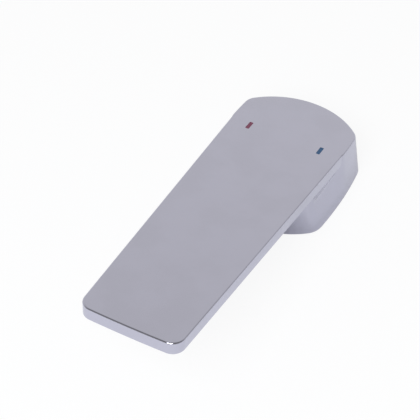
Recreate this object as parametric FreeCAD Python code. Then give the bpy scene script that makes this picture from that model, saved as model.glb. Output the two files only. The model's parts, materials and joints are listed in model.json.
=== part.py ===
"""Lever handle for a single-lever mixer tap: one casting, its grub screw, a cover plug and two marks.

Millimetres. The origin is on the spindle axis, in the plane of the hub's rim. +Z runs up the spindle,
the lever points to -Y and +X is to the right of someone who looks along the lever from its front.
"""
import FreeCAD, Part
import math
import os
from FreeCAD import Vector

# Lever plate, measured along the plate
lever_rise = 12.0           # degrees that the plate climbs from the hub to its front
lever_reach = 108.2         # spindle axis to the middle of the front edge
width_at_axis = 44.6
width_at_front = 36.9
plate_thickness = 4.9
plate_tail = 2.2            # how far the plate runs into the hub, behind the spindle axis
front_bow_radius = 470.0
front_corner_radius = 4.6
top_edge_radius = 0.5
lower_edge_radius = 0.3
root_radius = 7.0           # blend where the hub's wall meets the plate's underside
neck_lean = 13.0            # degrees that the neck leans in below a ledge too narrow for the whole blend

# Hub skirt, measured at its rim
hub_height = 22.6           # rim to the top face, on the spindle axis
hub_width = 47.4
hub_front = 25.4            # spindle axis to the front of the rim
hub_back = 25.3             # spindle axis to the back of the rim
hub_widest = 3.7            # where the rim is widest, behind the spindle axis
hub_side_radius = 118.0
hub_front_radius = 33.6
hub_back_radius = 31.5
hub_front_corner = 7.0
hub_back_corner = 6.0
hub_draft = 3.0             # degrees that the walls lean in towards the top
hub_wall = 2.6
rim_edge_radius = 0.5
roof_thickness = 3.4        # metal left between the top face and the hub's hollow
least_corner = 1.0          # smallest inside corner that the core can have

# Square socket for the spindle, in a boss that hangs from the roof
socket_width = 8.2
socket_depth = 11.0
socket_corner = 0.8
socket_lead_in = 0.6
boss_wall = 3.4
boss_corner = 1.5
boss_recess = 5.0           # rim to the boss's lower face
rib_thickness = 2.4
rib_recess = 10.5           # rim to the ribs' lower edges
web_width = 11.0            # web from the boss to the front wall, drilled for the grub screw

# Grub screw with its hex socket
screw_diameter = 5.0
screw_length = 10.0
screw_chamfer = 0.5
screw_play = 0.05           # play all round in the tapped hole
screw_tip_gap = 0.3         # how far the tip is backed out of the socket
tap_run_out = 0.5           # tapped length past the screw's outer end
hex_across_flats = 2.5
hex_depth = 3.0

# Push-in plug that closes the way to the screw
plug_stem_diameter = 6.4
plug_stem_length = 5.0
plug_bore_diameter = 4.4
plug_head_diameter = 8.4
plug_head_thickness = 1.0
plug_sink = 0.3             # head below the middle of the front wall
plug_lead_in = 0.4
plug_play = 0.05

# Red and blue marks in the top face
mark_spacing = 28.6
mark_setback = 0.9          # behind the spindle axis
mark_width = 1.4
mark_length = 4.0
mark_corner = 0.3
mark_depth = 0.4
mark_sink = 0.05            # enamel below the top face
mark_play = 0.02

# How far a cutting shape runs past the face that it cuts through
cut_margin = 1.0

# Worked out from the sizes above
draft_slope = math.tan(math.radians(hub_draft))
rise_slope = math.tan(math.radians(lever_rise))
side_slope = (width_at_axis - width_at_front) / 2 / lever_reach
boss_width = socket_width + 2 * boss_wall
screw_height = boss_recess + socket_depth / 2
screw_tip = -socket_width / 2 - screw_tip_gap
screw_end = screw_tip - screw_length
front_wall = -hub_front + draft_slope * screw_height
plug_face = front_wall + plug_sink
plug_seat = plug_face + plug_head_thickness
blank_height = hub_height + (hub_front + hub_back) * rise_slope
far = 4 * lever_reach        # larger than the handle every way

# The lever's own frame: its origin is on the spindle axis in the top face, its XY plane is that face
lever_frame = FreeCAD.Placement(Vector(0, 0, hub_height), FreeCAD.Rotation(Vector(1, 0, 0), -lever_rise))


def polar(centre, radius, angle):
    """Point at an angle on a circle in the XY plane."""
    return centre + Vector(math.cos(angle), math.sin(angle), 0) * radius


def bearing(start, end):
    """Angle of the way from one point to another."""
    return math.atan2(end.y - start.y, end.x - start.x)


def arc_between(centre, radius, start_angle, end_angle):
    """Edge along a circle, by way of the angle halfway."""
    points = [polar(centre, radius, a) for a in (start_angle, (start_angle + end_angle) / 2, end_angle)]
    return Part.Arc(*points).toShape()


def crossing(centre_a, radius_a, centre_b, radius_b, back):
    """Where two circles cross on the +X side: the crossing further back, or the one further forward."""
    apart = centre_b - centre_a
    distance = apart.Length
    along = (radius_a ** 2 - radius_b ** 2 + distance ** 2) / (2 * distance)
    across = math.sqrt(radius_a ** 2 - along ** 2)
    ahead = apart / distance
    middle = centre_a + ahead * along
    sideways = Vector(-ahead.y, ahead.x, 0) * across
    found = [point for point in (middle + sideways, middle - sideways) if point.x > 0]
    found.sort(key=lambda point: point.y)
    return found[-1] if back else found[0]


def mirrored(edges):
    """The same edges on the -X side, in the order that closes the outline."""
    return [edge.mirror(Vector(0, 0, 0), Vector(1, 0, 0)) for edge in reversed(edges)]


def hub_outline(inset, height):
    """Hub section at a height: bowed front, sides and back with rounded corners, drawn in by the inset."""
    front_centre = Vector(0, hub_front_radius - hub_front, 0)
    side_centre = Vector(hub_width / 2 - hub_side_radius, hub_widest, 0)
    back_centre = Vector(0, hub_back - hub_back_radius, 0)
    front_radius = hub_front_radius - inset
    side_radius = hub_side_radius - inset
    back_radius = hub_back_radius - inset
    front_round = max(hub_front_corner - inset, least_corner)
    back_round = max(hub_back_corner - inset, least_corner)
    front_corner = crossing(side_centre, side_radius - front_round,
                            front_centre, front_radius - front_round, back=False)
    back_corner = crossing(side_centre, side_radius - back_round,
                           back_centre, back_radius - back_round, back=True)
    angles = [
        -math.pi / 2,
        bearing(front_centre, front_corner),
        bearing(side_centre, front_corner),
        bearing(side_centre, back_corner),
        bearing(back_centre, back_corner),
        math.pi / 2,
    ]
    rounds = [
        (front_centre, front_radius),
        (front_corner, front_round),
        (side_centre, side_radius),
        (back_corner, back_round),
        (back_centre, back_radius),
    ]
    right = [arc_between(centre, radius, angles[i], angles[i + 1]) for i, (centre, radius) in enumerate(rounds)]
    outline = Part.Wire(right + mirrored(right))
    return outline.translated(Vector(0, 0, height))


def drafted_prism(inset, bottom, top):
    """Solid between two hub sections, leaning in by the draft."""
    sections = [hub_outline(inset + draft_slope * height, height) for height in (bottom, top)]
    return Part.makeLoft(sections, True, True)


def below_top_face(depth):
    """Everything further than a depth below the lever's top face."""
    block = Part.makeBox(far, far, far, Vector(-far / 2, -far / 2, -far - depth))
    return block.transformed(lever_frame.toMatrix())


def rounded_bar(width, length, corner, bottom, top):
    """Upright bar with rounded corners, centred on the Z axis."""
    bar = Part.makeBox(width, length, top - bottom, Vector(-width / 2, -length / 2, bottom))
    upright = [edge for edge in bar.Edges if abs(edge.Vertexes[0].Z - edge.Vertexes[1].Z) > (top - bottom) / 2]
    return bar.makeFillet(corner, upright)


def forward_cylinder(diameter, start, end):
    """Cylinder along the screw's axis, between two places on Y."""
    return Part.makeCylinder(diameter / 2, end - start, Vector(0, start, screw_height), Vector(0, 1, 0))


def plate_outline(inset):
    """Lever outline in its own frame: tapered sides, bowed front and rounded corners, drawn in by the inset."""
    front_centre = Vector(0, front_bow_radius - lever_reach, 0)
    taper = math.atan(side_slope)
    side_normal = Vector(math.cos(taper), -math.sin(taper), 0)
    along_side = Vector(math.sin(taper), math.cos(taper), 0)
    # The corner's centre lies one corner radius inside the side line and one inside the front arc
    line_start = Vector(width_at_axis / 2, 0, 0) - side_normal * front_corner_radius
    offset = line_start - front_centre
    reach = front_bow_radius - front_corner_radius
    half = offset.dot(along_side)
    step = -half - math.sqrt(half ** 2 - offset.dot(offset) + reach ** 2)
    corner = line_start + along_side * step
    corner_angle = bearing(front_centre, corner)
    side_start = corner + side_normal * (front_corner_radius - inset)
    tail = side_start + along_side * ((plate_tail - side_start.y) / along_side.y)
    right = [
        arc_between(front_centre, front_bow_radius - inset, -math.pi / 2, corner_angle),
        arc_between(corner, front_corner_radius - inset, corner_angle, -taper),
        Part.LineSegment(side_start, tail).toShape(),
    ]
    closing = Part.LineSegment(tail, Vector(-tail.x, tail.y, 0)).toShape()
    return Part.Wire(right + [closing] + mirrored(right))


def make_plate():
    """Lever plate in place, with its edges rounded."""
    plate = Part.Face(plate_outline(0)).extrude(Vector(0, 0, -plate_thickness))
    for level, radius in ((0, top_edge_radius), (-plate_thickness, lower_edge_radius)):
        rim = [edge for edge in plate.Edges if edge_level(edge) == level and edge.CenterOfMass.y < plate_tail - 1e-6]
        plate = plate.makeFillet(radius, rim)
    return plate.transformed(lever_frame.toMatrix())


def edge_level(edge):
    """Height of a level edge, or None for one that climbs."""
    box = edge.BoundBox
    return round((box.ZMin + box.ZMax) / 2, 6) + 0.0 if box.ZLength < 1e-6 else None


def make_hub():
    """Hub skirt as a solid, cut off by the lever's top face, with its rim and top edges rounded."""
    hub = drafted_prism(0, 0, blank_height).common(below_top_face(0))
    rim = [edge for edge in hub.Edges if edge_level(edge) == 0]
    hub = hub.makeFillet(rim_edge_radius, rim)
    return hub.makeFillet(top_edge_radius, edges_at_depth(hub, 0))


def edges_at_depth(shape, depth):
    """Edges whose ends lie at a depth below the lever's top face."""
    to_lever = lever_frame.inverse()
    return [edge for edge in shape.Edges
            if all(abs(to_lever.multVec(vertex.Point).z + depth) < 1e-4 for vertex in edge.Vertexes)]


def make_root():
    """Neck under the plate: a blend from the hub's wall to the underside, cut back below the narrow ledges."""
    hub = drafted_prism(0, 0, blank_height).common(below_top_face(plate_thickness - cut_margin))
    slab = Part.makeBox(far, far, cut_margin, Vector(-far / 2, -far / 2, -plate_thickness))
    slab = slab.transformed(lever_frame.toMatrix())
    blank = hub.fuse(slab)
    wall_loop = [edge for edge in edges_at_depth(blank, plate_thickness) if edge.Length < hub_width]
    blend = blank.makeFillet(root_radius, wall_loop).cut([hub, slab])
    neck_limit = Part.makeLoft([neck_outline(drop) for drop in (0, 2 * root_radius)], True, True)
    return blend.common(neck_limit.transformed(lever_frame.toMatrix()))


def neck_outline(drop):
    """Outline, in the lever's own frame, that the neck keeps within at a drop below the plate's underside."""
    inset = lower_edge_radius + drop * math.tan(math.radians(neck_lean))
    return plate_outline(inset).translated(Vector(0, 0, -plate_thickness - drop))


def make_core():
    """The hub's hollow: the space between the walls, the roof, the boss, its ribs and the screw's web."""
    core = drafted_prism(hub_wall, -cut_margin, blank_height).common(below_top_face(roof_thickness))
    boss = rounded_bar(boss_width, boss_width, boss_corner, boss_recess, blank_height)
    cross_rib = Part.makeBox(hub_width, rib_thickness, blank_height,
                             Vector(-hub_width / 2, -rib_thickness / 2, rib_recess))
    back_rib = Part.makeBox(rib_thickness, hub_back, blank_height, Vector(-rib_thickness / 2, 0, rib_recess))
    web = Part.makeBox(web_width, hub_front, blank_height, Vector(-web_width / 2, -hub_front, boss_recess))
    return core.cut([boss, cross_rib, back_rib, web])


def make_socket():
    """Square hole for the spindle, with a lead-in at its mouth."""
    hole = rounded_bar(socket_width, socket_width, socket_corner, boss_recess - socket_lead_in,
                       boss_recess + socket_depth)
    mouth = socket_width + 2 * socket_lead_in
    lead_in = Part.makeLoft([square_wire(mouth, boss_recess), square_wire(socket_width, boss_recess + socket_lead_in)],
                            True, True)
    return hole.fuse(lead_in)


def square_wire(width, height):
    """Square outline centred on the Z axis."""
    corners = [Vector(x * width / 2, y * width / 2, height) for x, y in ((-1, -1), (1, -1), (1, 1), (-1, 1))]
    return Part.makePolygon(corners + corners[:1])


def make_screw_hole():
    """Tapped hole, access hole and plug seat, drilled from the front wall to the socket."""
    outside = -hub_front - cut_margin
    tapped = forward_cylinder(screw_diameter + 2 * screw_play, screw_end - tap_run_out, 0)
    access = forward_cylinder(plug_stem_diameter + 2 * plug_play, outside, screw_end - tap_run_out)
    seat = forward_cylinder(plug_head_diameter + 2 * plug_play, outside, plug_seat)
    return tapped.fuse([access, seat])


def mark_bar(side, grow, bottom, top):
    """Bar of a mark's outline, in place, between two depths below the top face."""
    bar = rounded_bar(mark_width + 2 * grow, mark_length + 2 * grow, mark_corner, -bottom, -top)
    bar = bar.translated(Vector(side * mark_spacing / 2, mark_setback, 0))
    return bar.transformed(lever_frame.toMatrix())


def make_lever_body():
    """The casting: plate and hub, hollowed and drilled, with a recess for each mark."""
    blank = make_hub().fuse([make_plate(), make_root()]).removeSplitter()
    recesses = [mark_bar(side, mark_play, mark_depth, -cut_margin) for side in (-1, 1)]
    return blank.cut([make_core(), make_socket(), make_screw_hole()] + recesses)


def make_grub_screw():
    """Set screw with chamfered ends and a hex socket in the end that faces the front."""
    screw = forward_cylinder(screw_diameter, screw_end, screw_tip)
    ends = [edge for edge in screw.Edges if edge.BoundBox.YLength < 1e-6]
    screw = screw.makeChamfer(screw_chamfer, ends)
    corner_radius = hex_across_flats / 2 / math.cos(math.pi / 6)
    corners = [Vector(corner_radius * math.cos(i * math.pi / 3), screw_end,
                      screw_height + corner_radius * math.sin(i * math.pi / 3)) for i in range(6)]
    hexagon = Part.Face(Part.makePolygon(corners + corners[:1]))
    return screw.cut(hexagon.extrude(Vector(0, hex_depth, 0)))


def make_screw_plug():
    """Moulded plug: a flat head, a hollow stem and a lead-in at the stem's end."""
    stem_end = plug_seat + plug_stem_length
    stem_radius = plug_stem_diameter / 2
    profile = [
        (0, plug_face),
        (plug_head_diameter / 2, plug_face),
        (plug_head_diameter / 2, plug_seat),
        (stem_radius, plug_seat),
        (stem_radius, stem_end - plug_lead_in),
        (stem_radius - plug_lead_in, stem_end),
        (plug_bore_diameter / 2, stem_end),
        (plug_bore_diameter / 2, plug_seat),
        (0, plug_seat),
    ]
    points = [Vector(radius, y, screw_height) for radius, y in profile]
    section = Part.Face(Part.makePolygon(points + points[:1]))
    return section.revolve(Vector(0, 0, screw_height), Vector(0, 1, 0), 360)


def make_mark(side):
    """Enamel that fills a mark's recess to just below the top face."""
    return mark_bar(side, 0, mark_depth, mark_sink)


parts = {
    "lever_body": make_lever_body(),
    "grub_screw": make_grub_screw(),
    "screw_plug": make_screw_plug(),
    "hot_mark": make_mark(-1),
    "cold_mark": make_mark(1),
}

os.makedirs("parts", exist_ok=True)
for name, shape in parts.items():
    shape.exportStep(f"parts/{name}.step")
    print(name, len(shape.Solids), "solid", round(shape.Volume / 1000, 3), "cm3", shape.isValid())
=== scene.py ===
# %% [markdown]
# # A mixer tap handle in chrome
#
# The object is a spare handle for a single-lever mixer tap: a flat lever plate and a hollow hub, cast
# together and chrome plated, with a red and a blue mark on top. The CAD model is already packed, and it
# holds every place and size. This lesson dresses it: smooth meshes, finishes, light and a camera.

import json
import math

import bmesh
import bpy
from mathutils import Matrix, Vector

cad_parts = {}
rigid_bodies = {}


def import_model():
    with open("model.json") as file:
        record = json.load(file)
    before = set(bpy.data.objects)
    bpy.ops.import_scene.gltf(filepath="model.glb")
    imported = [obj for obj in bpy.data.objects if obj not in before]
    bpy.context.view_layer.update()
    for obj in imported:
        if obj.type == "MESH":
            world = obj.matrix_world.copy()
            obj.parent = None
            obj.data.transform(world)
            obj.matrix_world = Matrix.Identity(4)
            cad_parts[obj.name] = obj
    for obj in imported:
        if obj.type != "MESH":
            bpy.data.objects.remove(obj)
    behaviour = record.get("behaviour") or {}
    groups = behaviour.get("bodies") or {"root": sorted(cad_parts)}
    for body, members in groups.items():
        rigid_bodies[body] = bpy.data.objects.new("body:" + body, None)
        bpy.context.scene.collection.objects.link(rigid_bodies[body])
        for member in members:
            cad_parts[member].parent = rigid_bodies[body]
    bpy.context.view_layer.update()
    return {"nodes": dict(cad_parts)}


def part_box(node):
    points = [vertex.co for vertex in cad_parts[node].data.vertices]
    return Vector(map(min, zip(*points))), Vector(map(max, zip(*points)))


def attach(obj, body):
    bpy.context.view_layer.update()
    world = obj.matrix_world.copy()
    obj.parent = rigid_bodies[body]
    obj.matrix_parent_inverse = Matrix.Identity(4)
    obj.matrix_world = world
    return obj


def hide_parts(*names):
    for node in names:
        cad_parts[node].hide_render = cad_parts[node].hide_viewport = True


for leftover in list(bpy.data.objects):
    bpy.data.objects.remove(leftover)

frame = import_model()
scene = bpy.context.scene
mm_per_metre = 1000
print("CAD nodes:", sorted(frame["nodes"]))

# %% [markdown]
# ## The camera
#
# The photograph looks down on the lever from its front right, through a long lens. The camera could be
# placed by eye. Here its angles were fitted to the outline of the plate and the hub, so a turn, a height,
# a small roll and a distance are enough to write it down. The lens is for a sensor 36 mm wide.

# %% Camera at the photograph's viewing angle
camera_turn = math.radians(34.443)
camera_height = math.radians(52.019)
camera_roll = math.radians(-7.102)
camera_distance = 0.51257
camera_aim = Vector((-0.00400, -0.04606, 0.03251))
sensor_width = 36
focal_length = 128.8
nearest_view = 0.01

to_camera = Vector((
    math.sin(camera_turn) * math.cos(camera_height),
    -math.cos(camera_turn) * math.cos(camera_height),
    math.sin(camera_height),
))
level_right = Vector((math.cos(camera_turn), math.sin(camera_turn), 0))
level_up = to_camera.cross(level_right)
camera_right = level_right * math.cos(camera_roll) + level_up * math.sin(camera_roll)
camera_up = to_camera.cross(camera_right)

lens = bpy.data.cameras.new("photo_camera")
lens.sensor_width = sensor_width
lens.lens = focal_length
lens.clip_start = nearest_view
camera = bpy.data.objects.new("photo_camera", lens)
turned = Matrix((camera_right, camera_up, to_camera)).transposed().to_4x4()
camera.matrix_world = Matrix.Translation(camera_aim + to_camera * camera_distance) @ turned
scene.collection.objects.link(camera)
scene.camera = camera
print("camera at", [round(value, 4) for value in camera.location])

# %% [markdown]
# ## Nodes from a script
#
# The finishes, the plate's edge, the screw's thread and the light are all node trees. Placing nodes by hand
# shows at once what they do, but a script can be read and run again. Three small helpers keep it short: one
# adds a node, one wires two nodes together, and one gives a group its inputs or its outputs.

# %% Helpers for node trees


def add_node(tree, kind, **settings):
    """New node in a tree, with its settings."""
    node = tree.nodes.new(kind)
    for name, value in settings.items():
        setattr(node, name, value)
    return node


def wire(tree, start, output, end, entry):
    """Link from an output of one node to an entry of another, each by its name or its number."""
    tree.links.new(start.outputs[output], end.inputs[entry])


def add_sockets(tree, side, sockets):
    """Inputs or outputs of a group, each with a name and a kind of value."""
    for name, kind in sockets:
        tree.interface.new_socket(name, in_out=side, socket_type="NodeSocket" + kind)


print("helpers:", add_node.__name__, wire.__name__, add_sockets.__name__)

# %% [markdown]
# ## Finishes: what every worked surface shares
#
# Chrome, steel, plastic and enamel differ in colour and gloss, but no real surface is perfectly even. Each
# has slow ripples left by casting or moulding, a fine grain, and soft patches where it is a little duller.
# One shader node group makes these three from the piece's own coordinates, and each finish sets how large
# and how strong they are. The group gives out plain values, and the shader itself stays in the material.

# %% Node group for worked surfaces
noise_details = {"Ripple": 1.0, "Grain": 3.0, "Patch": 4.0}
patch_from = 0.35
patch_full = 0.65


def worked_surface_group():
    """Ripples, grain and patches, with their sizes in millimetres."""
    group = bpy.data.node_groups.new("worked_surface", "ShaderNodeTree")
    add_sockets(group, "INPUT", [
        ("Ripple Size", "Float"), ("Grain Size", "Float"), ("Patch Size", "Float"),
        ("Grain Share", "Float"), ("Low Roughness", "Float"), ("High Roughness", "Float"),
    ])
    add_sockets(group, "OUTPUT", [("Patch", "Float"), ("Roughness", "Float"), ("Height", "Float")])
    sizes = add_node(group, "NodeGroupInput")
    results = add_node(group, "NodeGroupOutput")
    place = add_node(group, "ShaderNodeTexCoord")
    noises = {}
    for name, detail in noise_details.items():
        per_metre = add_node(group, "ShaderNodeMath", operation="DIVIDE")
        per_metre.inputs[0].default_value = mm_per_metre
        noises[name] = add_node(group, "ShaderNodeTexNoise")
        noises[name].inputs["Detail"].default_value = detail
        wire(group, sizes, name + " Size", per_metre, 1)
        wire(group, place, "Object", noises[name], "Vector")
        wire(group, per_metre, "Value", noises[name], "Scale")
    height = add_node(group, "ShaderNodeMix")
    wire(group, sizes, "Grain Share", height, "Factor")
    wire(group, noises["Ripple"], "Fac", height, "A")
    wire(group, noises["Grain"], "Fac", height, "B")
    patch = add_node(group, "ShaderNodeMapRange", interpolation_type="SMOOTHSTEP")
    patch.inputs["From Min"].default_value = patch_from
    patch.inputs["From Max"].default_value = patch_full
    wire(group, noises["Patch"], "Fac", patch, "Value")
    roughness = add_node(group, "ShaderNodeMix")
    wire(group, patch, "Result", roughness, "Factor")
    wire(group, sizes, "Low Roughness", roughness, "A")
    wire(group, sizes, "High Roughness", roughness, "B")
    wire(group, patch, "Result", results, "Patch")
    wire(group, roughness, "Result", results, "Roughness")
    wire(group, height, "Result", results, "Height")
    return group


worked_surface = worked_surface_group()
print("shared group with", len(worked_surface.nodes), "nodes")

# %% [markdown]
# ## A finish from the shared group
#
# A finish is a Principled shader whose base colour moves between two close tones with the patches, whose
# roughness comes from the group, and whose normal is bumped by the ripples and the grain. The bump's
# distance is a few hundredths of a millimetre at most. A Mix node has a set of sockets for each kind of
# value, all with the same names, so those for colours are asked for by number.

# %% Function for a finish
mix_colour_a = 6
mix_colour_b = 7
mix_colour_result = 2


def new_finish(name, tones, metallic, bump, **surface):
    """Material with two tones, a metallic value, a bump in millimetres and the group's own values."""
    material = bpy.data.materials.new(name)
    material.use_nodes = True
    tree = material.node_tree
    shader = tree.nodes["Principled BSDF"]
    shader.inputs["Metallic"].default_value = metallic
    worked = add_node(tree, "ShaderNodeGroup", node_tree=worked_surface)
    for socket, value in surface.items():
        worked.inputs[socket.replace("_", " ").title()].default_value = value
    colour = add_node(tree, "ShaderNodeMix", data_type="RGBA")
    colour.inputs[mix_colour_a].default_value = (*tones[0], 1)
    colour.inputs[mix_colour_b].default_value = (*tones[1], 1)
    relief = add_node(tree, "ShaderNodeBump")
    relief.inputs["Distance"].default_value = bump / mm_per_metre
    wire(tree, worked, "Patch", colour, "Factor")
    wire(tree, colour, mix_colour_result, shader, "Base Color")
    wire(tree, worked, "Roughness", shader, "Roughness")
    wire(tree, worked, "Height", relief, "Height")
    wire(tree, relief, "Normal", shader, "Normal")
    return material


print("a finish takes two tones and eight values")

# %% [markdown]
# ## The finishes of this handle
#
# The outside is bright chrome over a polished casting. Chrome gives back a little more than half of the
# light and is faintly blue. The inside gets the same plating but no polish, so it stays dull and grainy.
# The plug is moulded in grey plastic, the screw is zinc-plated steel, and the marks are filled with enamel.

# %% Finishes
bright_chrome = new_finish(
    "bright_chrome", [(0.545, 0.54, 0.63), (0.53, 0.525, 0.61)], metallic=1.0, bump=0.05,
    ripple_size=9, grain_size=0.2, patch_size=14,
    grain_share=0.004, low_roughness=0.06, high_roughness=0.1)
dull_casting = new_finish(
    "dull_casting", [(0.47, 0.465, 0.48), (0.39, 0.385, 0.4)], metallic=1.0, bump=0.04,
    ripple_size=2.5, grain_size=0.35, patch_size=5,
    grain_share=0.5, low_roughness=0.32, high_roughness=0.48)
grey_plastic = new_finish(
    "grey_plastic", [(0.42, 0.42, 0.44), (0.36, 0.36, 0.38)], metallic=0.0, bump=0.012,
    ripple_size=1.6, grain_size=0.12, patch_size=3,
    grain_share=0.4, low_roughness=0.25, high_roughness=0.38)
zinc_steel = new_finish(
    "zinc_steel", [(0.5, 0.5, 0.51), (0.4, 0.4, 0.41)], metallic=1.0, bump=0.01,
    ripple_size=0.8, grain_size=0.08, patch_size=1.5,
    grain_share=0.5, low_roughness=0.28, high_roughness=0.42)
enamel = {
    "metallic": 0.0, "bump": 0.01, "ripple_size": 0.9, "grain_size": 0.1, "patch_size": 0.8,
    "grain_share": 0.1, "low_roughness": 0.16, "high_roughness": 0.26,
}
red_fill = new_finish("red_fill", [(0.22, 0.045, 0.1), (0.18, 0.037, 0.083)], **enamel)
blue_fill = new_finish("blue_fill", [(0.02, 0.095, 0.225), (0.016, 0.078, 0.19)], **enamel)
finishes = [bright_chrome, dull_casting, grey_plastic, zinc_steel, red_fill, blue_fill]
print("finishes:", [material.name for material in finishes])

# %% [markdown]
# ## The casting: where its surfaces are
#
# The plate and the hub are one zinc casting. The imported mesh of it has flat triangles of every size, and
# mirror-bright chrome shows each one. A copy could be smoothed by angle, but its long triangles would bend
# the reflections. So the outer skin is made again here from the same sizes as the CAD model, in rows and
# columns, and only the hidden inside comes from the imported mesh. Its lengths are in millimetres.

# %% Sizes of the casting
lever_rise = math.radians(12)
hub_height = 22.6
lever_reach = 108.2
width_at_axis = 44.6
width_at_front = 36.9
plate_thickness = 4.9
front_bow_radius = 470.0
front_corner_radius = 4.6
top_edge_radius = 0.5
lower_edge_radius = 0.3
root_radius = 7.0
neck_lean = math.tan(math.radians(13))
hub_width = 47.4
hub_front = 25.4
hub_back = 25.3
hub_widest = 3.7
hub_side_radius = 118.0
hub_front_radius = 33.6
hub_back_radius = 31.5
hub_front_corner = 7.0
hub_back_corner = 6.0
hub_draft = math.tan(math.radians(3))
rim_edge_radius = 0.5

top_normal = Vector((0, math.sin(lever_rise), math.cos(lever_rise)))
lever_back = Vector((0, math.cos(lever_rise), -math.sin(lever_rise)))
to_right = Vector((1, 0, 0))
lever_origin = Vector((0, 0, hub_height))


def in_lever(x, y, z):
    """Point given across, along and above the lever's top face."""
    return lever_origin + to_right * x + lever_back * y + top_normal * z


def depth_of(point):
    """How far a point lies below the plane of the top face."""
    return (lever_origin - point).dot(top_normal)


print("top face leans", round(math.degrees(lever_rise), 1), "degrees")

# %% [markdown]
# ## The hub's outline
#
# Seen from above, half of the hub is five arcs that run into each other: front, front corner, side, back
# corner and back. The three long arcs are placed by their sizes. A corner's centre has to be found: it lies
# one corner radius inside both of its neighbours, so it is where two smaller circles cross.

# %% Centres of the five arcs


def crossing(centre_a, radius_a, centre_b, radius_b, back):
    """Where two circles cross on the right: the place further back, or else the one further forward."""
    apart = centre_b - centre_a
    along = (radius_a ** 2 - radius_b ** 2 + apart.length_squared) / (2 * apart.length)
    across = math.sqrt(radius_a ** 2 - along ** 2)
    ahead = apart.normalized()
    middle = centre_a + ahead * along
    sideways = Vector((-ahead.y, ahead.x, 0)) * across
    found = [point for point in (middle + sideways, middle - sideways) if point.x > 0]
    found.sort(key=lambda point: point.y)
    return found[-1] if back else found[0]


def bearing(start, end):
    """Angle of the way from one point to another, seen from above."""
    return math.atan2(end.y - start.y, end.x - start.x)


front_centre = Vector((0, hub_front_radius - hub_front, 0))
side_centre = Vector((hub_width / 2 - hub_side_radius, hub_widest, 0))
back_centre = Vector((0, hub_back - hub_back_radius, 0))
front_corner = crossing(side_centre, hub_side_radius - hub_front_corner,
                        front_centre, hub_front_radius - hub_front_corner, back=False)
back_corner = crossing(side_centre, hub_side_radius - hub_back_corner,
                       back_centre, hub_back_radius - hub_back_corner, back=True)
side_start = bearing(side_centre, front_corner)
side_end = bearing(side_centre, back_corner)
print("side arc runs over", round(math.degrees(side_end - side_start), 1), "degrees")

# %% [markdown]
# ## The hub's wall
#
# The wall leans in by three degrees, so that the casting leaves its mould, and leans in further under the
# plate's sides, where the photograph shows a slight waist. Every arc keeps its centre and only shrinks with
# height, so each place on the outline has a straight line up the wall. A station is such a line: a centre,
# a radius at the rim and a direction.

# %% Lines up the wall
waist_lean = 0.11
waist_across = (19, 21.4)
waist_along = (4, -6)


def smooth_step(value, start, end):
    """Value that goes smoothly from 0 at the start to 1 at the end."""
    share = min(max((value - start) / (end - start), 0), 1)
    return share * share * (3 - 2 * share)


def wall_lean(station):
    """How far the wall leans in for each millimetre of height, more where the waist is."""
    centre, radius, angle = station
    across = smooth_step(centre.x + radius * math.cos(angle), *waist_across)
    along = smooth_step(centre.y + radius * math.sin(angle), *waist_along)
    return hub_draft + waist_lean * across * along


def wall_normal(station):
    """Outward direction of the wall at a station."""
    angle = station[2]
    return Vector((math.cos(angle), math.sin(angle), wall_lean(station))).normalized()


def wall_at_height(station, height):
    """Point of the wall at a height above the rim."""
    centre, radius, angle = station
    reach = radius - wall_lean(station) * height
    return Vector((centre.x + reach * math.cos(angle), centre.y + reach * math.sin(angle), height))


def wall_at_depth(station, depth):
    """Point of the wall at a depth below the top face."""
    foot = wall_at_height(station, 0)
    rise_of_line = wall_at_height(station, 1) - foot
    return foot + rise_of_line * ((depth_of(foot) - depth) / rise_of_line.dot(top_normal))


print("the waist leans in by up to", round(math.degrees(math.atan(waist_lean)), 1), "degrees more")

# %% [markdown]
# ## The plate's side
#
# The plate is wider at the hub than at its front, so each side is a plane that turns in a little. Its lower
# edge is rounded, which draws the side in near the underside. Two measures tell the plate's inside from its
# outside: how far a point is past that plane, and how far the rounding draws the plate in.

# %% Measures of the plate's side
taper = math.atan((width_at_axis - width_at_front) / 2 / lever_reach)
side_normal = to_right * math.cos(taper) - lever_back * math.sin(taper)
along_side = to_right * math.sin(taper) + lever_back * math.cos(taper)
side_at_axis = in_lever(width_at_axis / 2, 0, 0)


def past_side(point):
    """How far a point lies outside the plane of the plate's right side."""
    return (point - side_at_axis).dot(side_normal)


def plate_inset(depth):
    """How far the plate's side is drawn in at a depth, by its lower rounding."""
    sink = max(depth - (plate_thickness - lower_edge_radius), 0)
    return lower_edge_radius - math.sqrt(max(lower_edge_radius ** 2 - sink ** 2, 0))


print("each side of the plate turns in by", round(math.degrees(taper), 2), "degrees")

# %% [markdown]
# ## Where the plate runs into the hub
#
# Towards its front the plate is wider than the hub, and a narrow ledge of its underside shows all along.
# Further back the wall swells past the plate's side and swallows it. In between, the seam climbs from the
# underside over the plate's lower rounding and up its side band. Each station on that stretch needs one
# number, the depth at which its line meets the plate. Halving an interval finds it.

# %% Find the seam
halvings = 60


def halve(low, high, is_low):
    """The value between low and high where the answer changes."""
    for _ in range(halvings):
        middle = (low + high) / 2
        if is_low(middle):
            low = middle
        else:
            high = middle
    return (low + high) / 2


def on_side(angle):
    """Station on the side arc."""
    return (side_centre, hub_side_radius, angle)


def ledge_width(station):
    """Width of the underside's flat part beside a station, negative where it has run out."""
    return -lower_edge_radius - past_side(wall_at_depth(station, plate_thickness))


def seam_depth(station):
    """Depth at which a station's line passes from inside the plate to outside it."""
    return halve(top_edge_radius, plate_thickness,
                 lambda depth: past_side(wall_at_depth(station, depth)) < -plate_inset(depth))


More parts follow.
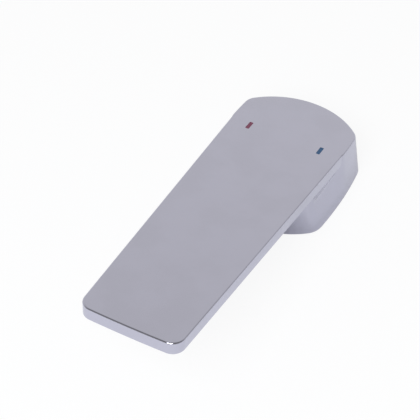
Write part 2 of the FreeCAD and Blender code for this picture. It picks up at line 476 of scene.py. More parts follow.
ledge_end = halve(side_start, 0, lambda angle: ledge_width(on_side(angle)) > 0)
seam_end = halve(ledge_end, 0, lambda angle: past_side(wall_at_depth(on_side(angle), 0)) < 0)
for name, angle in (("ledge", ledge_end), ("seam", seam_end)):
    print(name, "ends at y", round(wall_at_depth(on_side(angle), plate_thickness).y, 2))

# %% [markdown]
# ## Rounded edges from two directions
#
# An edge between two faces is rounded by a ball that touches both. Where the ball sits follows from the two
# outward directions alone, and the rounding's points lie on the ball between them. The same few lines serve
# the hub's rim, its top edge and the top edge of the plate beside the seam.

# %% Points of a rounding
rounding_steps = 5


def spread(start, end, steps):
    """Evenly spaced values from start to end, both included."""
    return [start + (end - start) * step / steps for step in range(steps + 1)]


def rounding(edge_point, first, last, radius):
    """Points from the face that looks along first to the one that looks along last."""
    ball = edge_point - (first + last) * (radius / (1 + first.dot(last)))
    between = first.angle(last)
    points = []
    for share in spread(0, 1, rounding_steps):
        blend = first * math.sin((1 - share) * between) + last * math.sin(share * between)
        points.append(ball + blend * (radius / math.sin(between)))
    return points


print("a rounding has", rounding_steps, "steps")

# %% [markdown]
# ## Stations round the hub
#
# Each arc of the outline is cut into even steps, and each step is a station. The stretches differ in what
# is above the wall: the plate's underside in front, then the seam, and at the back the hub's own top edge.
# A short corner gets nearly as many steps as a long arc, because chrome shows a corner that has too few.

# %% Stations of the right half
front_steps = 18
front_corner_steps = 12
ledge_steps = 14
seam_steps = 12
open_side_steps = 20
back_corner_steps = 10
back_steps = 20


def on_arc(centre, radius, start, end, steps):
    """Stations on an arc, from one direction to another."""
    return [(centre, radius, angle) for angle in spread(start, end, steps)]


front_end = bearing(front_centre, front_corner)
back_start = bearing(back_centre, back_corner)
front_stations = on_arc(front_centre, hub_front_radius, -math.pi / 2, front_end, front_steps)
corner_stations = on_arc(front_corner, hub_front_corner, front_end, side_start, front_corner_steps)
ledge_stations = on_arc(side_centre, hub_side_radius, side_start, ledge_end, ledge_steps)
seam_stations = on_arc(side_centre, hub_side_radius, ledge_end, seam_end, seam_steps)
open_stations = on_arc(side_centre, hub_side_radius, seam_end, side_end, open_side_steps)
back_corner_stations = on_arc(back_corner, hub_back_corner, side_end, back_start, back_corner_steps)
back_stations = on_arc(back_centre, hub_back_radius, back_start, math.pi / 2, back_steps)

under_stations = front_stations + corner_stations[1:] + ledge_stations[1:]
full_stations = open_stations + back_corner_stations[1:] + back_stations[1:]
print("stations under the plate, on the seam and behind it:",
      len(under_stations), len(seam_stations), len(full_stations))

# %% [markdown]
# ## Columns of the hub's skin
#
# One column runs up each station: the rim's rounding, the wall, and then its head. At the back the head is
# the top edge's rounding, and on the seam it is a single point. At the front it is a hollow neck under the
# plate: a 7 mm blend between the wall and the underside. Along the sides the ledge is too narrow for all of
# it, so a face that leans in from the underside's edge cuts the blend short.

# %% Heads of the columns
neck_shares = [1.0, 0.85, 0.7, 0.55, 0.4, 0.25, 0.12, 0.05, 0.0]
neck_margin = 1.4
ledge_share = 0.97
narrowest_ledge = 1e-4
least_sideways = 1e-6


def neck_head(station):
    """Hollow neck under the plate: the blend, kept within a face that leans in from the edge."""
    foot = wall_at_depth(station, plate_thickness)
    ledge = ledge_share * ledge_width(station)
    if ledge < narrowest_ledge:
        return [foot] * len(neck_shares)
    out = wall_normal(station)
    up = (top_normal - out * out.dot(top_normal)).normalized()
    across = (out - top_normal * out.dot(top_normal)).normalized()
    corner_angle = across.angle(-up)
    blend_reach = root_radius / math.tan(corner_angle / 2)
    wall_slope = 1 / math.tan(corner_angle)
    sideways = max(across.dot(side_normal), least_sideways)
    start = blend_reach * math.sin(corner_angle)
    closing = neck_lean + sideways * wall_slope
    if closing > 0:
        start = min(start, neck_margin * ledge / closing)
    points = []
    for share in neck_shares:
        drop = start * share
        blend = blend_reach - math.sqrt(root_radius ** 2 - (root_radius - drop) ** 2)
        limit = (ledge - neck_lean * drop) / sideways
        points.append(foot + across * max(drop * wall_slope, min(blend, limit)) - top_normal * drop)
    return points


def top_head(station):
    """Head at the back, over the top edge."""
    return rounding(wall_at_depth(station, 0), wall_normal(station), top_normal, top_edge_radius)


seam_points = [wall_at_depth(station, seam_depth(station)) for station in seam_stations[:-1]]
tip_head = top_head(seam_stations[-1])
seam_ends = seam_points + tip_head[:1]
print("seam from y", round(seam_ends[0].y, 2), "to y", round(seam_ends[-1].y, 2))

# %% Columns of the right half
wall_shares = [0.08, 0.2, 0.38, 0.57, 0.76, 0.94, 0.97]


def hub_column(station, head):
    """One column of the skin, from the rim up to the last point of its head."""
    normal = wall_normal(station)
    foot = rounding(wall_at_height(station, 0), Vector((0, 0, -1)), normal, rim_edge_radius)
    wall = [foot[-1].lerp(head[0], share) for share in wall_shares]
    return foot + wall + head


front_columns = [hub_column(station, neck_head(station)) for station in under_stations]
side_columns = [hub_column(station, [point]) for station, point in zip(seam_stations, seam_ends)]
back_columns = [hub_column(station, top_head(station)) for station in full_stations]
print("points in a column in front, beside the seam and behind it:",
      len(front_columns[0]), len(side_columns[0]), len(back_columns[0]))

# %% [markdown]
# ## The plate's edge follows a path
#
# In front of the seam the plate's edge has one section everywhere: a rounding, a flat band and a smaller
# rounding below. That is a profile swept along a path, which Geometry Nodes do well. The path is the plate's
# outline, drawn here with the lever's own axes. The profile is a line of four points.

# %% Outline of the plate
side_run_steps = 24
plate_corner_steps = 14
front_bow_steps = 12
bow_centre = in_lever(0, front_bow_radius - lever_reach, 0)


def plate_corner_centre():
    """Centre of the right front corner: one radius inside the side and one inside the bowed front."""
    start = side_at_axis - side_normal * front_corner_radius
    offset = start - bow_centre
    half = offset.dot(along_side)
    reach = front_bow_radius - front_corner_radius
    return start + along_side * (-half - math.sqrt(half ** 2 - offset.length_squared + reach ** 2))


def in_top_plane(angle):
    """Direction in the plane of the top face, at an angle from the right."""
    return to_right * math.cos(angle) + lever_back * math.sin(angle)


def right_outline():
    """Outline from the end of the ledge forward to the middle of the front."""
    last_full = side_at_axis + along_side * (seam_points[0] - side_at_axis).dot(along_side)
    corner = plate_corner_centre()
    to_corner = corner - bow_centre
    corner_angle = math.atan2(to_corner.dot(lever_back), to_corner.x)
    side_front = corner + side_normal * front_corner_radius
    points = [last_full.lerp(side_front, share) for share in spread(0, 1, side_run_steps)]
    for angle in spread(-taper, corner_angle, plate_corner_steps)[1:]:
        points.append(corner + in_top_plane(angle) * front_corner_radius)
    for angle in spread(corner_angle, -math.pi / 2, front_bow_steps)[1:]:
        points.append(bow_centre + in_top_plane(angle) * front_bow_radius)
    return points


def to_flat(point):
    """The same point with the lever's own axes as X, Y and Z."""
    offset = point - lever_origin
    return Vector((offset.x, offset.dot(lever_back), offset.dot(top_normal)))


def mirrored(point):
    """The same point on the other side."""
    return Vector((-point.x, point.y, point.z))


right_half = [to_flat(point) for point in right_outline()]
left_half = [mirrored(point) for point in reversed(right_half[:-1])]
print("outline of", len(right_half) + len(left_half), "points")

# %% Lines to sweep


def line_object(name, points):
    """Curve object with straight runs between points."""
    curve = bpy.data.curves.new(name, "CURVE")
    curve.dimensions = "3D"
    spline = curve.splines.new("POLY")
    spline.points.add(len(points) - 1)
    for slot, point in zip(spline.points, points):
        slot.co = (*point, 1)
    made = bpy.data.objects.new(name, curve)
    scene.collection.objects.link(made)
    return made


outline_line = line_object("plate_outline", right_half + left_half)
profile_line = line_object("edge_profile", [
    Vector((top_edge_radius, 0, 0)),
    Vector((0, 0, 0)),
    Vector((0, plate_thickness, 0)),
    Vector((lower_edge_radius, plate_thickness, 0)),
])
print("lines:", outline_line.name, profile_line.name)

# %% [markdown]
# ## Sweep the edge
#
# A Curve to Mesh node sweeps the profile. A Fillet Curve node rounds the profile's two inner corners first,
# with one radius at the top and another below: the point's own number tells which of the two is wanted. A
# Compare node has sockets for each kind of value, like a Mix node, and these two are for whole numbers.

# %% Node tree that sweeps the profile
compare_whole_a = 2
compare_whole_b = 3
top_corner_number = 1


def sweep_tree():
    """Sweeps a profile of four points along a path and rounds its two inner corners."""
    tree = bpy.data.node_groups.new("sweep_edge", "GeometryNodeTree")
    add_sockets(tree, "INPUT", [
        ("Path", "Object"), ("Profile", "Object"), ("Top Radius", "Float"),
        ("Lower Radius", "Float"), ("Steps", "Int"), ("Finish", "Material"),
    ])
    add_sockets(tree, "OUTPUT", [("Geometry", "Geometry")])
    sizes = add_node(tree, "NodeGroupInput")
    path = add_node(tree, "GeometryNodeObjectInfo")
    upright = add_node(tree, "GeometryNodeSetCurveNormal", mode="Z_UP")
    profile = add_node(tree, "GeometryNodeObjectInfo")
    number = add_node(tree, "GeometryNodeInputIndex")
    is_top = add_node(tree, "FunctionNodeCompare", data_type="INT", operation="EQUAL")
    radius = add_node(tree, "GeometryNodeSwitch", input_type="FLOAT")
    fillet = add_node(tree, "GeometryNodeFilletCurve", mode="POLY")
    sweep = add_node(tree, "GeometryNodeCurveToMesh")
    realize = add_node(tree, "GeometryNodeRealizeInstances")
    finish = add_node(tree, "GeometryNodeSetMaterial")
    result = add_node(tree, "NodeGroupOutput")
    is_top.inputs[compare_whole_b].default_value = top_corner_number
    wire(tree, sizes, "Path", path, "Object")
    wire(tree, path, "Geometry", upright, "Curve")
    wire(tree, sizes, "Profile", profile, "Object")
    wire(tree, number, "Index", is_top, compare_whole_a)
    wire(tree, is_top, "Result", radius, "Switch")
    wire(tree, sizes, "Lower Radius", radius, "False")
    wire(tree, sizes, "Top Radius", radius, "True")
    wire(tree, profile, "Geometry", fillet, "Curve")
    wire(tree, radius, "Output", fillet, "Radius")
    wire(tree, sizes, "Steps", fillet, "Count")
    wire(tree, upright, "Curve", sweep, "Curve")
    wire(tree, fillet, "Curve", sweep, "Profile Curve")
    wire(tree, sweep, "Mesh", realize, "Geometry")
    wire(tree, realize, "Geometry", finish, "Geometry")
    wire(tree, sizes, "Finish", finish, "Material")
    wire(tree, finish, "Geometry", result, "Geometry")
    return tree


edge_sweep = sweep_tree()
print("sweep tree with", len(edge_sweep.nodes), "nodes")

# %% [markdown]
# ## From a node tree to a plain mesh
#
# The tree runs in a modifier on an object whose mesh is empty. Its inputs are set by their identifiers before
# the first evaluation, and what it makes is copied to a plain mesh. A matrix then turns the swept edge from
# the lever's own axes to the casting's.

# %% Mesh of the plate's edge


def nodes_mesh(name, tree, values):
    """Plain mesh of what a node tree makes from its input values."""
    carrier = bpy.data.objects.new(name, bpy.data.meshes.new(name))
    modifier = carrier.modifiers.new(name, "NODES")
    modifier.node_group = tree
    for socket in tree.interface.items_tree:
        if socket.in_out == "INPUT" and socket.name in values:
            modifier[socket.identifier] = values[socket.name]
    scene.collection.objects.link(carrier)
    evaluated = carrier.evaluated_get(bpy.context.evaluated_depsgraph_get())
    mesh = bpy.data.meshes.new_from_object(evaluated)
    bpy.data.objects.remove(carrier)
    return mesh


plate_edge = nodes_mesh("plate_edge", edge_sweep, {
    "Path": outline_line,
    "Profile": profile_line,
    "Top Radius": top_edge_radius,
    "Lower Radius": lower_edge_radius,
    "Steps": rounding_steps,
    "Finish": bright_chrome,
})
bpy.data.objects.remove(outline_line)
bpy.data.objects.remove(profile_line)
from_flat = Matrix((to_right, lever_back, top_normal)).transposed().to_4x4()
plate_edge.transform(Matrix.Translation(lever_origin) @ from_flat)
print("plate edge:", len(plate_edge.polygons), "faces")

# %% [markdown]
# ## The edge beside the seam
#
# Behind the end of the ledge the edge's columns get shorter, because each one ends on the seam. They have
# the same steps as the swept ones, so the two stretches join without a gap. The last column is the tip,
# where the plate's top edge turns into the hub's.

# %% Columns that end on the seam


def seam_column(point):
    """Column of the plate's edge, from the top face down to a point on the seam."""
    start = side_at_axis + along_side * (point - side_at_axis).dot(along_side)
    upper = rounding(start, top_normal, side_normal, top_edge_radius)
    band_end = plate_thickness - lower_edge_radius
    sink = depth_of(point) - band_end
    if sink <= 0:
        return upper + [point] * (rounding_steps + 1)
    lower = []
    for angle in spread(0, math.asin(min(sink / lower_edge_radius, 1)), rounding_steps):
        inset = lower_edge_radius * (1 - math.cos(angle))
        depth = band_end + lower_edge_radius * math.sin(angle)
        lower.append(start - side_normal * inset - top_normal * depth)
    return upper + lower


seam_columns = [seam_column(point) for point in seam_points]
seam_columns.append(tip_head[::-1] + [tip_head[0]] * (rounding_steps + 1))
print("seam:", len(seam_columns), "columns")

# %% [markdown]
# ## Put the skin together
#
# The columns of the right half become faces, and the left half is their mirror image. A window is left open
# in the middle of the hub's front for the plug's hole. Points that lie on each other are merged afterwards.

# %% Faces between the columns
skin = bmesh.new()
window_columns = 5
window_start = rounding_steps + 2
window_end = rounding_steps + 6


def add_columns(columns, side, window=False):
    """Faces between neighbouring columns, on the right for a side of 1 and on the left for -1."""
    rows = [[skin.verts.new((point.x * side, point.y, point.z)) for point in column] for column in columns]
    for number, (first, second) in enumerate(zip(rows, rows[1:])):
        for row in range(len(first) - 1):
            if window and number < window_columns and window_start <= row < window_end:
                continue
            skin.faces.new((first[row], second[row], second[row + 1], first[row + 1]))


for side in (1, -1):
    add_columns(front_columns, side, window=True)
    add_columns(side_columns, side)
    add_columns(back_columns, side)
    add_columns(seam_columns, side)
skin.from_mesh(plate_edge)
print("skin:", len(skin.faces), "faces before the flats are closed")

# %% [markdown]
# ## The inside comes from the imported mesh
#
# The hollow, the spindle boss with its square socket, the ribs and the screw's hole are flat or hidden, so
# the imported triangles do. In a copy with merged points, the outer skin is everything that can be reached
# from the top face without crossing a sharp edge. That is taken away, and the inside is left.

# %% Take the inside from a copy
sharp_angle = math.radians(65)
packed_merge = 0.001
top_likeness = 0.9999
top_tolerance = 0.01
inside = bmesh.new()
inside.from_mesh(frame["nodes"]["lever_body"].data)
bmesh.ops.scale(inside, vec=Vector((1, 1, 1)) * mm_per_metre, verts=inside.verts)
bmesh.ops.remove_doubles(inside, verts=inside.verts, dist=packed_merge)
inside.normal_update()


def on_top(face):
    """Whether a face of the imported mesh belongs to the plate's top face."""
    level = abs(depth_of(face.calc_center_median())) < top_tolerance
    return level and face.normal.dot(top_normal) > top_likeness


outer = {face for face in inside.faces if on_top(face)}
waiting = list(outer)
while waiting:
    face = waiting.pop()
    for edge in face.edges:
        for neighbour in edge.link_faces:
            if neighbour not in outer and face.normal.angle(neighbour.normal, 0) < sharp_angle:
                outer.add(neighbour)
                waiting.append(neighbour)
bmesh.ops.delete(inside, geom=list(outer), context="FACES")
for face in inside.faces:
    face.material_index = 1
print("inside:", len(inside.faces), "faces kept,", len(outer), "taken away")

# %% [markdown]
# ## Close the flats
#
# What is still open are flat faces between loops of edges: the top round the two mark recesses, the plate's
# underside, the rim, and the window round the plug's hole. Each is filled with triangles. Then the casting
# is one closed mesh, and its faces can be turned outwards together.

# %% Fill between the loops
skin_merge = 0.004
level_tolerance = 0.02
mm3_per_cm3 = 1000
inside_mesh = bpy.data.meshes.new("inside")
inside.to_mesh(inside_mesh)
skin.from_mesh(inside_mesh)
bmesh.ops.remove_doubles(skin, verts=skin.verts, dist=skin_merge)


def on_level(edge, measure, level):
    """Whether both ends of an edge lie on a level."""
    return all(abs(measure(vert.co) - level) < level_tolerance for vert in edge.verts)


open_edges = [edge for edge in skin.edges if edge.is_boundary]
flats = {
    "top": [edge for edge in open_edges if on_level(edge, depth_of, 0)],
    "underside": [edge for edge in open_edges if on_level(edge, depth_of, plate_thickness)],
    "rim": [edge for edge in open_edges if on_level(edge, lambda point: point.z, 0)],
}
closed = {edge for edges in flats.values() for edge in edges}
flats["window"] = [edge for edge in open_edges if edge not in closed]
for name, edges in flats.items():
    made = bmesh.ops.triangle_fill(skin, edges=edges, use_beauty=True)
    new_faces = [item for item in made["geom"] if isinstance(item, bmesh.types.BMFace)]
    print(name, "filled with", len(new_faces), "faces")
bmesh.ops.recalc_face_normals(skin, faces=skin.faces)
print("open edges left:", len([edge for edge in skin.edges if not edge.is_manifold]))
print("volume in cm3:", round(skin.calc_volume() / mm3_per_cm3, 3))

# %% [markdown]
# ## Sharp where it is not round
#
# Chrome shows every mistake in the normals. All faces are shaded smooth, but an edge that turns by thirty
# degrees or more has to stay sharp. So has the seam, where the plate meets the hub at a smaller angle.

# %% Mark the sharp edges
crease_angle = math.radians(30)
on_seam = set()
for point in seam_ends + [mirrored(point) for point in seam_ends]:
    on_seam.add(min(skin.verts, key=lambda vert: (vert.co - point).length_squared))
for face in skin.faces:
    face.smooth = True
for edge in skin.edges:
    along_seam = edge.verts[0] in on_seam and edge.verts[1] in on_seam
    edge.smooth = not along_seam and edge.calc_face_angle(0) < crease_angle
print("sharp edges:", len([edge for edge in skin.edges if not edge.smooth]))

# %% [markdown]
# ## The casting as a piece
#
# Smooth shading alone would bend the reflections on the flats, because a flat shares its border with a
# rounding. A Weighted Normal modifier lets the large faces decide, so flats stay flat and roundings blend.
# The mesh goes back to metres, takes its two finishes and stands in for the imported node.

# %% Finish the casting
large_faces_decide = 100


def plain_object(name, mesh, *materials):
    """Object at the origin with a mesh and its finishes."""
    made = bpy.data.objects.new(name, mesh)
    mesh.materials.clear()
    for material in materials:
        mesh.materials.append(material)
    scene.collection.objects.link(made)
    return made


def weigh_normals(piece):
    """Applies a Weighted Normal modifier, so that large faces keep their direction."""
    weighted = piece.modifiers.new("weighted", "WEIGHTED_NORMAL")
    weighted.mode = "FACE_AREA"
    weighted.weight = large_faces_decide
    weighted.keep_sharp = True
    graph = bpy.context.evaluated_depsgraph_get()
    evaluated = piece.evaluated_get(graph)
    piece.data = bpy.data.meshes.new_from_object(evaluated, preserve_all_data_layers=True, depsgraph=graph)
    piece.modifiers.clear()


bmesh.ops.scale(skin, vec=Vector((1, 1, 1)) / mm_per_metre, verts=skin.verts)
casting_mesh = bpy.data.meshes.new("lever_casting")
skin.to_mesh(casting_mesh)
casting = plain_object("lever_casting", casting_mesh, bright_chrome, dull_casting)
weigh_normals(casting)
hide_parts("lever_body")
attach(casting, "root")
print("casting:", len(casting.data.polygons), "faces")

# %% [markdown]
# ## A turned mesh
#
# The plug and the screw's core are both turned about a line along Y, so one function makes them: it sets a
# ring of points for each entry of a profile and closes the rings with faces. A Screw modifier could turn a
# line too, but here a radius may also change with the angle, which the screw's hexagon needs.

# %% Function for a turned mesh
turn_steps = 48


def turned_mesh(name, profile, axis_x, axis_z):
    """Closed mesh turned about a line. Each profile entry is a radius, or a rule for one, and a place."""
    body = bmesh.new()
    rings = []
    for radius, place in profile:
        ring = []
        for step in range(turn_steps):
            angle = 2 * math.pi * step / turn_steps
            reach = radius(angle) if callable(radius) else radius
            x = axis_x + reach * math.cos(angle)
            z = axis_z + reach * math.sin(angle)
            ring.append(body.verts.new((x, place, z)))
        rings.append(ring)
    for first, second in zip(rings, rings[1:]):
        for step in range(turn_steps):
            after = (step + 1) % turn_steps
            body.faces.new((first[step], first[after], second[after], second[step]))
    body.faces.new(rings[0])
    body.faces.new(rings[-1])
    bmesh.ops.recalc_face_normals(body, faces=body.faces)
    for face in body.faces:
        face.smooth = True
    for edge in body.edges:
        edge.smooth = edge.calc_face_angle(0) < crease_angle
    mesh = bpy.data.meshes.new(name)
    body.to_mesh(mesh)
    body.free()
    return mesh


print("a turned mesh has", turn_steps, "points in a ring")

# %% [markdown]
# ## The plug
#
# A push-in plug hides the way to the grub screw, in the hub's front under the lever. It is turned from a
# profile: a head with a small rounding, a hollow stem and a lead-in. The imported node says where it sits, so
# the profile only adds the rounding that a moulding has. Lengths are in metres from here on.

# %% Turn the plug
plug_low, plug_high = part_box("screw_plug")
plug_middle = (plug_low + plug_high) / 2
head_radius = (plug_high.x - plug_low.x) / 2
head_thickness = 0.001
stem_radius = 0.0032
bore_radius = 0.0022
lead_in = 0.0004
head_round = 0.00025
head_round_steps = 4
plug_profile = [(head_radius - head_round + head_round * math.sin(angle),
                 plug_low.y + head_round - head_round * math.cos(angle))
                for angle in spread(0, math.pi / 2, head_round_steps)]
plug_profile += [
    (head_radius, plug_low.y + head_thickness),
    (stem_radius, plug_low.y + head_thickness),
    (stem_radius, plug_high.y - lead_in),
    (stem_radius - lead_in, plug_high.y),
    (bore_radius, plug_high.y),
    (bore_radius, plug_low.y + head_thickness),
]
plug = plain_object("plug", turned_mesh("plug", plug_profile, plug_middle.x, plug_middle.z), grey_plastic)
weigh_normals(plug)
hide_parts("screw_plug")
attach(plug, "root")
print("plug:", len(plug.data.polygons), "faces")

# %% [markdown]
# ## The grub screw's core
#
# The set screw that grips the spindle sits behind the plug. The CAD model leaves its side plain, and here it
# gets a thread. The core below the thread is turned like the plug, and its hexagon is a ring whose radius
# changes with the angle.

# %% Core of the screw
screw_low, screw_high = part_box("grub_screw")
screw_middle = (screw_low + screw_high) / 2
screw_radius = (screw_high.x - screw_low.x) / 2
thread_height = 0.00047
core_radius = screw_radius - thread_height
hex_depth = 0.003
hex_half_width = 0.00125
socket_chamfer = 0.0002
point_chamfer = 0.0004


def hexagon(angle):
    """Distance from the middle of the hexagon to its side, at an angle."""
    return hex_half_width / math.cos(angle % (math.pi / 3) - math.pi / 6)


core = turned_mesh("core", [
    (hexagon, screw_low.y + hex_depth),
    (hexagon, screw_low.y),
    (core_radius - socket_chamfer, screw_low.y),
    (core_radius, screw_low.y + socket_chamfer),
    (core_radius, screw_high.y - point_chamfer),
    (core_radius - point_chamfer, screw_high.y),
], screw_middle.x, screw_middle.z)
print("core:", len(core.polygons), "faces")

# %% [markdown]
# ## A thread follows a helix
#
# A thread is a ridge along a helix: again a profile swept along a path, so again Geometry Nodes. A Spiral
# node makes the helix upright, and a Transform node lays it along the screw. Towards both ends of the path
# the profile shrinks to nothing, as a cut thread runs out.

# %% Node tree for a thread
helix_resolution = 24
upright_to_lying = (math.radians(-90), 0, 0)


def thread_tree():
    """Adds a ridge along a helix to a core. The ridge shrinks to nothing at both ends."""
    tree = bpy.data.node_groups.new("thread", "GeometryNodeTree")
    add_sockets(tree, "INPUT", [
        ("Core", "Object"), ("Ridge", "Object"), ("Radius", "Float"), ("Length", "Float"),
        ("Turns", "Float"), ("Run Out", "Float"), ("Place", "Vector"), ("Finish", "Material"),
    ])
    add_sockets(tree, "OUTPUT", [("Geometry", "Geometry")])
    sizes = add_node(tree, "NodeGroupInput")
    core_in = add_node(tree, "GeometryNodeObjectInfo")
    ridge_in = add_node(tree, "GeometryNodeObjectInfo")
    helix = add_node(tree, "GeometryNodeCurveSpiral")
    upright = add_node(tree, "GeometryNodeSetCurveNormal", mode="Z_UP")
    along = add_node(tree, "GeometryNodeSplineParameter")
    from_end = add_node(tree, "ShaderNodeMath", operation="SUBTRACT")
    nearest = add_node(tree, "ShaderNodeMath", operation="MINIMUM")
    shrink = add_node(tree, "ShaderNodeMapRange")
    sweep = add_node(tree, "GeometryNodeCurveToMesh")
    place = add_node(tree, "GeometryNodeTransform")
    join = add_node(tree, "GeometryNodeJoinGeometry")
    realize = add_node(tree, "GeometryNodeRealizeInstances")
    finish = add_node(tree, "GeometryNodeSetMaterial")
    result = add_node(tree, "NodeGroupOutput")
    helix.inputs["Resolution"].default_value = helix_resolution
    from_end.inputs[0].default_value = 1
    sweep.inputs["Fill Caps"].default_value = True
    place.inputs["Rotation"].default_value = upright_to_lying
    wire(tree, sizes, "Core", core_in, "Object")
    wire(tree, sizes, "Ridge", ridge_in, "Object")
    wire(tree, sizes, "Radius", helix, "Start Radius")
    wire(tree, sizes, "Radius", helix, "End Radius")
    wire(tree, sizes, "Length", helix, "Height")
    wire(tree, sizes, "Turns", helix, "Rotations")
    wire(tree, helix, "Curve", upright, "Curve")
    wire(tree, along, "Factor", from_end, 1)
    wire(tree, along, "Factor", nearest, 0)
    wire(tree, from_end, "Value", nearest, 1)
    wire(tree, nearest, "Value", shrink, "Value")
    wire(tree, sizes, "Run Out", shrink, "From Max")
    wire(tree, upright, "Curve", sweep, "Curve")
    wire(tree, ridge_in, "Geometry", sweep, "Profile Curve")
    wire(tree, shrink, "Result", sweep, "Scale")
    wire(tree, sweep, "Mesh", place, "Geometry")
    wire(tree, sizes, "Place", place, "Translation")
    wire(tree, core_in, "Geometry", join, "Geometry")
    wire(tree, place, "Geometry", join, "Geometry")
    wire(tree, join, "Geometry", realize, "Geometry")
    wire(tree, realize, "Geometry", finish, "Geometry")
    wire(tree, sizes, "Finish", finish, "Material")
    wire(tree, finish, "Geometry", result, "Geometry")
    return tree


thread = thread_tree()
print("thread tree with", len(thread.nodes), "nodes")

# %% [markdown]
# ## The grub screw's thread
#
# The ridge's profile is a trapezium: wide at the root, narrow at the crest, and with its root sunk a little
# into the core so that no gap shows. The pitch is that of an M5 screw.

# %% Thread on the core
thread_pitch = 0.0008
root_half = 0.44 * thread_pitch
crest_half = 0.08 * thread_pitch
bite = 0.00008
end_chamfer = 0.0005
run_out = 0.06
ridge_line = line_object("ridge", [
    Vector((bite, -root_half, 0)),
    Vector((-thread_height, -crest_half, 0)),
    Vector((-thread_height, crest_half, 0)),
    Vector((bite, root_half, 0)),
])
ridge_line.data.splines[0].use_cyclic_u = True
core_object = plain_object("core", core, zinc_steel)
thread_length = screw_high.y - screw_low.y - 2 * end_chamfer
screw_mesh = nodes_mesh("set_screw", thread, {
    "Core": core_object,
    "Ridge": ridge_line,
    "Radius": core_radius,
    "Length": thread_length,
    "Turns": thread_length / thread_pitch,
    "Run Out": run_out,
    "Place": (screw_middle.x, screw_low.y + end_chamfer, screw_middle.z),
    "Finish": zinc_steel,
})
bpy.data.objects.remove(ridge_line)
bpy.data.objects.remove(core_object)
screw = plain_object("set_screw", screw_mesh, zinc_steel)
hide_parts("grub_screw")
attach(screw, "root")
offsets = [vert.co - screw_middle for vert in screw_mesh.vertices]
reach = max(math.hypot(offset.x, offset.z) for offset in offsets)
print("screw:", len(screw_mesh.polygons), "faces, radius in mm", round(reach * mm_per_metre, 3))

# %% [markdown]
# ## The marks
#
# Red stands for hot and blue for cold. Each mark is a small bar of enamel in its own recess, and the CAD
# nodes already have that shape. They stay as they are and only take their finish.

# %% Enamel for the marks
for node, fill in (("hot_mark", red_fill), ("cold_mark", blue_fill)):
    marked = frame["nodes"][node].data
    marked.materials.clear()
    marked.materials.append(fill)
    print(node, "takes", fill.name)

# %% [markdown]
# ## Floor
#
# Chrome is coloured by what it reflects, so the floor matters as much as the finish. It is plain, nearly
# white and a little cool. The photograph's background is pure white, so the camera sees most of the floor
# as even white, and reflections see a small share of it so. The rest is the floor's own shading, and with
# it the handle's soft shadow.

# %% Pale floor
half_floor = 1.5
floor_drop = 0.0001
floor_colour = (0.9, 0.915, 0.95, 1)
white_to_camera = 0.9
white_in_metal = 0.15


def floor_finish():
    """Matt floor that rays from the camera and from reflections see as partly even white."""
    material = bpy.data.materials.new("pale_floor")
    material.use_nodes = True
    tree = material.node_tree
    tree.nodes.clear()
    matt = add_node(tree, "ShaderNodeBsdfDiffuse")
    matt.inputs["Color"].default_value = floor_colour
    glow = add_node(tree, "ShaderNodeEmission")
    rays = add_node(tree, "ShaderNodeLightPath")
    in_metal = add_node(tree, "ShaderNodeMath", operation="MAXIMUM")
    camera_share = add_node(tree, "ShaderNodeMath", operation="MULTIPLY")
    camera_share.inputs[1].default_value = white_to_camera
    share = add_node(tree, "ShaderNodeMath", operation="MULTIPLY_ADD")
    share.inputs[1].default_value = white_in_metal
    blend = add_node(tree, "ShaderNodeMixShader")
    surface = add_node(tree, "ShaderNodeOutputMaterial")
    wire(tree, rays, "Is Camera Ray", camera_share, 0)
    wire(tree, rays, "Is Glossy Ray", in_metal, 0)
    wire(tree, rays, "Is Transmission Ray", in_metal, 1)
    wire(tree, in_metal, "Value", share, 0)
    wire(tree, camera_share, "Value", share, 2)
    wire(tree, share, "Value", blend, 0)
    wire(tree, matt, "BSDF", blend, 1)
    wire(tree, glow, "Emission", blend, 2)
    wire(tree, blend, "Shader", surface, "Surface")
    return material


floor_mesh = bpy.data.meshes.new("floor")
floor_corners = [(-1, -1), (1, -1), (1, 1), (-1, 1)]
floor_points = [(x * half_floor, y * half_floor, -floor_drop) for x, y in floor_corners]
floor_mesh.from_pydata(floor_points, [], [range(len(floor_points))])
floor = plain_object("floor", floor_mesh, floor_finish())
print("floor of", 2 * half_floor, "m")

# %% [markdown]
# ## Studio light
#
# A chrome part is photographed in a tent of white cloth, and the world stands for the tent. It is brightest
# along the horizon, where it meets the floor, and at the back left, which the top face mirrors. Overhead,
# in front and on the right it is dimmer, and so the plate's top edge shows as a dark line.

# %% World
dome_tones = [(0.0, 1.1), (0.14, 0.77), (0.44, 0.79), (0.6, 0.72), (0.75, 0.5), (0.9, 0.4)]
ramp_end = 1.0
bright_side = Vector((-0.6, 0.8, 0))
dim_share = 0.5
dim_until = -0.1
bright_from = 0.7


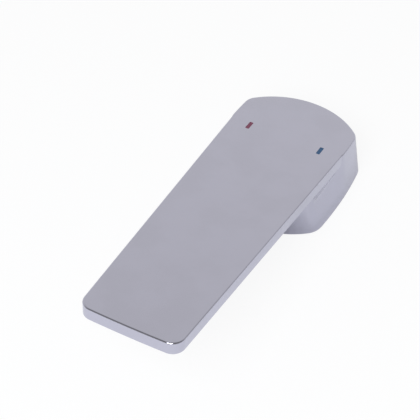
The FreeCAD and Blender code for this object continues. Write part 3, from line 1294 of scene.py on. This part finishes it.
def studio_world():
    """World whose brightness depends only on the direction: on its height and on the side it is to."""
    world = bpy.data.worlds.new("studio")
    world.use_nodes = True
    tree = world.node_tree
    background = tree.nodes["Background"]
    direction = add_node(tree, "ShaderNodeTexCoord")
    parts = add_node(tree, "ShaderNodeSeparateXYZ")
    towards = add_node(tree, "ShaderNodeVectorMath", operation="DOT_PRODUCT")
    towards.inputs[1].default_value = bright_side
    dome = add_node(tree, "ShaderNodeValToRGB")
    stops = dome.color_ramp.elements
    while len(stops) < len(dome_tones):
        stops.new(ramp_end)
    for stop, (height, tone) in zip(stops, dome_tones):
        stop.position = height
        stop.color = (tone, tone, tone, 1)
    share = add_node(tree, "ShaderNodeMapRange", interpolation_type="SMOOTHSTEP")
    share.inputs["From Min"].default_value = dim_until
    share.inputs["From Max"].default_value = bright_from
    share.inputs["To Min"].default_value = dim_share
    wire(tree, direction, "Generated", parts, "Vector")
    wire(tree, parts, "Z", dome, "Fac")
    wire(tree, direction, "Generated", towards, 0)
    wire(tree, towards, "Value", share, "Value")
    wire(tree, dome, "Color", background, "Color")
    wire(tree, share, "Result", background, "Strength")
    return world


scene.world = studio_world()
print("world:", scene.world.name)

# %% [markdown]
# ## The lamp
#
# The tent alone leaves the floor too dark and the chrome without a highlight. One large soft lamp, above and
# in front, brightens the floor that the sides mirror, and gives the small bright glint on the rounded front
# corner. It points at the same place as the camera.

# %% Soft lamp above and in front
lamp_distance = 0.7
lamp_direction = Vector((0.1, -0.6, 0.8)).normalized()
lamp_size = 0.38
lamp_watts = 3.9
softbox = bpy.data.lights.new("softbox", "AREA")
softbox.shape = "SQUARE"
softbox.size = lamp_size
softbox.energy = lamp_watts
lamp = bpy.data.objects.new("softbox", softbox)
lamp.location = camera_aim + lamp_direction * lamp_distance
lamp.rotation_mode = "QUATERNION"
lamp.rotation_quaternion = lamp_direction.to_track_quat("Z", "Y")
scene.collection.objects.link(lamp)
scene.view_settings.view_transform = "Standard"
print("lamp of", lamp_watts, "W at", lamp_distance, "m")
